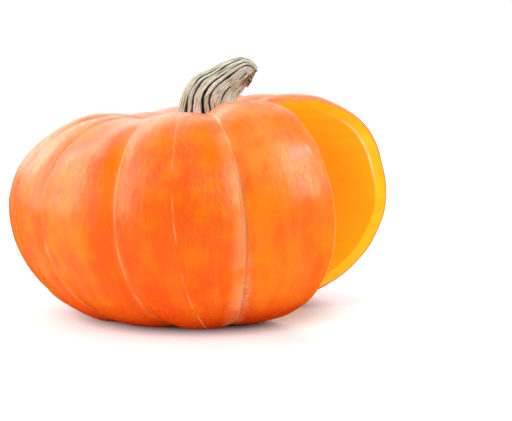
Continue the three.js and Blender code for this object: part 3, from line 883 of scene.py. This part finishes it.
STALK_SECTIONS = np.array([     # x and z of the centre, radius, heading above +X in degrees
    (2, 48, 29, 88), (5, 58, 24.5, 86), (7.9, 65.6, 21.3, 82), (10.2, 74.2, 19.3, 61),
    (15.9, 80.2, 17.1, 49), (22.2, 85.4, 14.2, 43), (29.6, 89.7, 12.8, 29),
    (38.1, 92.6, 10.8, 16), (41.6, 91.3, 9.4, -8), (43.8, 87.3, 8.2, -33)])
STALK_GROOVES = np.array([      # direction of each groove round the stalk, and how dark it is a
    (-175, 0.5, 0.4, 0.5, 0.5),     # quarter, half and three quarters of the way, and at the end
    (-166, 0.7, 0.5, 0.5, 0.4), (-154, 0.95, 0.55, 0.7, 0.4), (-137, 1.05, 0.95, 1.1, 0.5),
    (-126, 0.2, 0.5, 0.35, 0.2), (-113, 1.05, 1.0, 1.0, 0.35), (-96, 1.1, 0.85, 1.0, 0.6),
    (-83, 0.55, 0.42, 0.3, 0.2), (-67, 0.3, 0.45, 0.45, 0.4), (-48, 0.2, 0.4, 0.5, 0.6),
    (-28, 0.4, 0.6, 0.8, 0.8), (-6, 0.7, 0.8, 0.6, 0.9), (17, 0.6, 0.5, 0.7, 0.6),
    (38, 0.8, 0.9, 0.6, 0.5), (58, 0.5, 0.3, 0.4, 0.4), (79, 0.9, 1.0, 0.8, 0.4),
    (99, 0.6, 0.4, 0.5, 0.5), (121, 0.9, 0.7, 1.0, 0.5), (143, 0.6, 0.8, 0.5, 0.4),
    (163, 0.8, 0.6, 0.7, 0.5)])
STALK_ROWS, STALK_COLUMNS = 130, 266
FOOT_ROWS, END_ROWS = 8, 14     # from the middle of the foot, and to the middle of the broken end
FOOT_CUT_TOP = 67
FOOT_DEPTH = 1.5                # how deep the foot stands in the skin
FOOT_TWIST, END_TWIST = 17, 38  # degrees by which the ridges twist there
GROOVE_DEPTH, CREASE_DEPTH, KNOB = 0.17, 0.018, 0.1     # shares of the radius


def spline(points, along):
    """A smooth curve through evenly counted points: on each span, a cubic whose slope at a point
    is half the step between its two neighbours."""
    place = np.asarray(along, float) * (len(points) - 1)
    at = np.clip(place.astype(int), 0, len(points) - 2)
    t = (place - at)[..., None]
    before, start = points[np.maximum(at - 1, 0)], points[at]
    end, after = points[at + 1], points[np.minimum(at + 2, len(points) - 1)]
    slope, next_slope = (end - before) / 2, (after - start) / 2
    return ((2 * start - 2 * end + slope + next_slope) * t ** 3
            + (3 * end - 3 * start - 2 * slope - next_slope) * t ** 2 + slope * t + start)


def top_skin(x, y):
    """Height of the fruit's skin round the stalk."""
    r = np.hypot(x, y)
    round_top = (1 - (r / RIND["radius"]) ** RIND["side_power"]) ** (1 / RIND["top_power"])
    return RIND["top"] * round_top - RIND["top_dip"] * bell(r, RIND["top_dip_width"])


along = np.linspace(0, 1, STALK_ROWS)[:, None]
turn = np.linspace(0, 360, STALK_COLUMNS + 1)[None, :] - 180
angle = np.radians(turn)
twist = END_TWIST * smooth_step(along, 0.6, 1) - FOOT_TWIST * (1 - smooth_step(along, 0.2, 0.5))
drift = 3 * np.sin(4 * along + 0.5) + 1.6 * np.sin(9 * along + np.radians(2 * turn)) + twist
_, passed, ridge_width, nearest = between_grooves(STALK_GROOVES[:, 0], turn + drift)
stretch = np.clip(4 * along - 1, 0, 3)
quarter = np.minimum(stretch.astype(int), 2)
onward = stretch - quarter
darkness = (STALK_GROOVES[nearest, 1 + quarter] * (1 - onward)
            + STALK_GROOVES[nearest, 2 + quarter] * onward)
in_turn = stacked(nearest * 9.0, along * 30, 0.0)
darkness = np.clip(darkness * (1 + 0.3 * swells(in_turn, 1.6, 45)), 0, 1.15)
ragged_edge = stacked(angle * 20, along * 60, 0.0)
from_ridge = np.abs(2 * passed - 1) + 0.04 * swells(ragged_edge, 0.9, 46)
from_ridge = np.clip(from_ridge + 0.09 * swells(ragged_edge, 3.2, 49), 0, 1)
carved = GROOVE_DEPTH * darkness * from_ridge ** 2.8 * np.sqrt(ridge_width / 20)
creased = (bell(passed - 0.36, 0.05) + bell(passed - 0.66, 0.04)) * smooth_step(
    swells(ragged_edge, 6.0, 50), -0.8, 0.8)
knob = KNOB * bell(along - 0.47, 0.07) * np.clip(-np.cos(angle), 0, None) ** 3
rough, splinters = stacked(angle * 18, along * 16, 0.0), stacked(angle * 26, along * 9, 0.0)
peeled_from = -62 - 22 * smooth_step(along, 0.75, 0.9) - 66 * smooth_step(along, 0.9, 1)
stripped = (smooth_step(turn - peeled_from, -6, 6) * (1 - smooth_step(turn, 15, 40))
            * smooth_step(along, 0.64, 0.72) * smooth_step(swells(splinters, 2.2, 47), -1.8, -0.2))
x, z, radius, lift = np.moveaxis(spline(STALK_SECTIONS, along[:, 0]), -1, 0)[..., None]
lift = np.radians(lift - 90)
reach = radius * (1 - (carved + CREASE_DEPTH * creased) * (1 - 0.3 * along) + knob
                  + 0.012 * swells(rough, 1.2, 41) + 0.02 * swells(rough, 4.0, 42)
                  - stripped * (0.05 + 0.03 * swells(splinters, 0.8, 48)))
side = stacked(x + reach * np.cos(angle) * np.cos(lift), reach * np.sin(angle),
               z + reach * np.cos(angle) * np.sin(lift))
side[:, -1] = side[:, 0]

foot_share = np.linspace(0, 1, FOOT_ROWS + 1)[:-1, None, None]
foot = side[0].mean(axis=0) * (1 - foot_share) + side[0] * foot_share
end_share = np.linspace(1, 0, END_ROWS + 1)[1:, None, None]
broken_end = side[-1].mean(axis=0) * (1 - end_share) + side[-1] * end_share
end_heading = math.radians(STALK_SECTIONS[-1, 3])
torn = 1.6 * swells(broken_end, 1.1, 44) - 2.2
broken_end = broken_end + ((1 - end_share[..., 0] ** 4) * torn)[..., None] * np.array(
    [math.cos(end_heading), 0, math.sin(end_heading)])
broken_end[-1] = broken_end[-1, 0]
broken_end[:, -1] = broken_end[:, 0]
stalk_grid = np.concatenate([foot, side, broken_end])
trimmed = 1 - smooth_step(stalk_grid[..., 2], FOOT_CUT_TOP - 1, FOOT_CUT_TOP + 1.5)
past = stacked(past_cut(stalk_grid, NEAR_LOOK), past_cut(stalk_grid, FAR_LOOK))
back = np.clip(past.min(axis=-1), 0, None) * trimmed
which = np.where(past.argmin(axis=-1)[..., None] == 0, open_near, open_far)
stalk_grid[..., :2] -= back[..., None] * which
buried = top_skin(stalk_grid[..., 0], stalk_grid[..., 1]) - FOOT_DEPTH
below = np.clip(buried - stalk_grid[..., 2], 0, None)
stalk_grid[..., 2] = np.maximum(stalk_grid[..., 2], buried - 0.02 * below)
stalk_grid[:, -1] = stalk_grid[:, 0]

stalk_marks = {}                # nothing on the foot's floor, then on the side and the broken end
for mark, on_side, on_end in (
        ("in_groove", darkness * from_ridge ** 2.2, 0), ("in_crease", creased, 0),
        ("torn", stripped, 1),
        ("fibre", stacked(np.cos(angle), np.sin(angle), 0.14 * along), broken_end / 12)):
    values = np.zeros(stalk_grid.shape[:2] + on_side.shape[2:])
    values[FOOT_ROWS:FOOT_ROWS + STALK_ROWS] = on_side
    values[FOOT_ROWS + STALK_ROWS:] = on_end
    stalk_marks[mark] = (values,)

stalk_material, tree, shader, place = new_material(
    "dry_stalk", Roughness=0.75, IOR=1.4, Specular_IOR_Level=0.3)
fibre, in_groove = mark_of(tree, "fibre", "Vector"), mark_of(tree, "in_groove")
streaks, blotches = grain(fibre, 22, 0.14, place, 120)
threads, stains = grain(fibre, 60, 0.2, place, 420)
mossy = scaled(part_of(fibre, "X"), -0.3, -0.85) * scaled(streaks, 0.2, 0.8, 0.1, 0.6)
groove_colour = ramp(scaled(in_groove, 0.25, 0.7), (0, (0.24, 0.235, 0.20)),
                     (0.3, (0.085, 0.09, 0.065)), (1, (0.016, 0.018, 0.011)))
torn_colour = ramp(threads, (0, (0.62, 0.44, 0.27)), (0.3, (0.33, 0.17, 0.075)),
                   (1, (0.10, 0.04, 0.016)))
colour = layered(
    ramp(blotches, (0, (0.80, 0.73, 0.54)), (0.35, (0.90, 0.85, 0.67)),
         (0.7, (0.94, 0.90, 0.76)), (1, (0.95, 0.93, 0.83))),
    (mossy, (0.84, 0.82, 0.52)),
    (scaled(threads, 0.45, 1, 0, 0.6), (0.45, 0.36, 0.24)),
    (scaled(streaks, 0.7, 0.95, 0, 0.7), (0.22, 0.20, 0.14)),
    (mark_of(tree, "in_crease") * 0.8, (0.20, 0.18, 0.12)),
    (scaled(stains, 0.66, 0.85, 0, 0.45), (0.50, 0.50, 0.45)),
    (scaled(in_groove, 0.20, 0.38), groove_colour),
    (mark_of(tree, "torn"), torn_colour))
connect(shader, {"Base Color": colour, "Normal": bump(streaks + threads, 0.0003, 0.8)})

stalk = piece_of("dry_stalk", [lie_down(stalk_grid)], stalk_material, stalk_marks)
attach(stalk, "root")
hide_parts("stalk")

# ------------------------------ table and light
# The fruit stands on a table that is white to the eye, under large soft lights, and is seen from a
# little above its girth. The table glows, a little more away from the fruit, and stays white; the
# glow fades out within 6 to 11 cm of the fruit, which paints its contact shadow, and a pinkish base
# colour paints the reddish light that the fruit throws into that shadow.

TABLE_HALF = 2                  # metres, as all that follows
LAMP_AWAY, LAMPS_AIM = 1.3, (0, 0, 0.08)
LAMPS = (                       # name, way from the fruit, size, power
    ("left", (-0.85, -0.28, 0.45), 0.9, 7), ("right", (0.85, -0.35, 0.40), 0.7, 6),
    ("top", (-0.1, 0.15, 0.98), 1.2, 11))
CARDS = (
    ("left_card", (-0.93, -0.05, 0.36), 1.0, 20), ("right_card", (0.61, -0.12, 0.78), 0.45, 12),
    ("front_card", (0.70, -0.42, 0.56), 0.9, 28), ("back_card", (-0.35, 0.74, 0.55), 1.0, 4.5),
    ("corner_card", (-0.68, 0.56, 0.47), 0.6, 5))
VIEW_DOWN = math.radians(7.2)
CAMERA_AWAY, LENS, FILM = 1.1, 105.37, 36
AIM_RIGHT, AIM_DOWN = 0.03736, 0.00617      # of the fruit's middle, where the camera looks

table_mesh = bpy.data.meshes.new("table")
table_mesh.from_pydata([(x * TABLE_HALF, y * TABLE_HALF, 0) for x, y in (
    (-1, -1), (1, -1), (1, 1), (-1, 1))], [], [(0, 1, 2, 3)])
# Painted light: the pinkish base colour tints the shadow near the fruit as if lit by light bounced
# from it.
table_material, tree, shader, place = new_material(
    "table", Roughness=0.9, Base_Color=(0.57, 0.505, 0.50, 1), Emission_Strength=1)
from_fruit = Level(add_node(tree, "VectorMath", {0: stretched(place, (0.95, 1.05, 1))},
                            operation="LENGTH"), "Value")
# Painted shadow: the glow is nothing within 6 cm of the fruit and full from 11 cm, which draws the
# fruit's contact shadow on the table.
connect(shader, {"Emission Color": scaled(from_fruit, 0.060, 0.112, 0, 0.62)
                 + scaled(from_fruit, 0.15, 0.8, 0.0, 0.35)})
table_mesh.materials.append(table_material)
table = bpy.data.objects.new("table", table_mesh)
table.visible_glossy = False
bpy.context.collection.objects.link(table)


def soft_light(name, way, size, power, gloss):
    """A square light of the given size, on its way from the fruit. It either lights the fruit
    evenly or, as a card, only shows in its gloss."""
    lamp = bpy.data.lights.new(name, "AREA")
    lamp.size, lamp.energy = size, power
    light = bpy.data.objects.new(name, lamp)
    place = Vector(way).normalized() * LAMP_AWAY
    light.location = place + Vector(LAMPS_AIM)
    light.rotation_mode = "QUATERNION"
    light.rotation_quaternion = (-place).to_track_quat("-Z", "Y")
    light.visible_diffuse, light.visible_glossy = not gloss, gloss
    bpy.context.collection.objects.link(light)


for lamp in LAMPS:
    soft_light(*lamp, gloss=False)
for card in CARDS:
    soft_light(*card, gloss=True)

# The room is plain white to the eye and lights the fruit evenly. The gloss sees a dark room
# instead, which is brighter behind the fruit and low on its left.
world = bpy.data.worlds.new("studio")
bpy.context.scene.world = world
world.use_nodes = True
tree = world.node_tree
tree.nodes.clear()
rays = add_node(tree, "LightPath")
way = Level(add_node(tree, "TexCoord"), "Generated")


def towards(direction):
    """The product of the way looked and a direction: about 1 where they agree."""
    return Level(add_node(tree, "VectorMath", {0: way, 1: direction}, operation="DOT_PRODUCT"),
                 "Value")


def glow(strength):
    """White light from all round."""
    return Level(add_node(tree, "Background", {"Color": (1, 1, 1, 1), "Strength": strength}))


def chosen(ray, otherwise, seen):
    """One glow where the given kind of ray meets the room, and another otherwise."""
    return Level(add_node(tree, "MixShader", {0: Level(rays, ray), 1: otherwise, 2: seen}))


gloom = (scaled(towards((-0.1, 0.98, 0.15)), 0.35, 0.95, 0.05, 1.2)
         * scaled(part_of(way, "Z"), -0.12, 0.04)
         + scaled(towards((-0.87, 0.2, -0.45)), 0.78, 0.98, 0.0, 0.8))
lit = chosen("Is Glossy Ray", glow(0.5), glow(gloom))
add_node(tree, "OutputWorld", {0: chosen("Is Camera Ray", lit, glow(1.0))})
bpy.context.scene.view_settings.view_transform = "Standard"

middle = Vector(PLACE) / 1000
back = Vector((0, -math.cos(VIEW_DOWN), math.sin(VIEW_DOWN)))
up = Vector((0, math.sin(VIEW_DOWN), math.cos(VIEW_DOWN)))
aim = middle + Vector((AIM_RIGHT, 0, 0)) - AIM_DOWN * up
camera_data = bpy.data.cameras.new("camera")
camera_data.sensor_width, camera_data.lens = FILM, LENS
camera = bpy.data.objects.new("camera", camera_data)
camera.location = middle + CAMERA_AWAY * back
camera.rotation_mode = "QUATERNION"
camera.rotation_quaternion = (aim - camera.location).to_track_quat("-Z", "Y")
bpy.context.collection.objects.link(camera)
bpy.context.scene.camera = camera
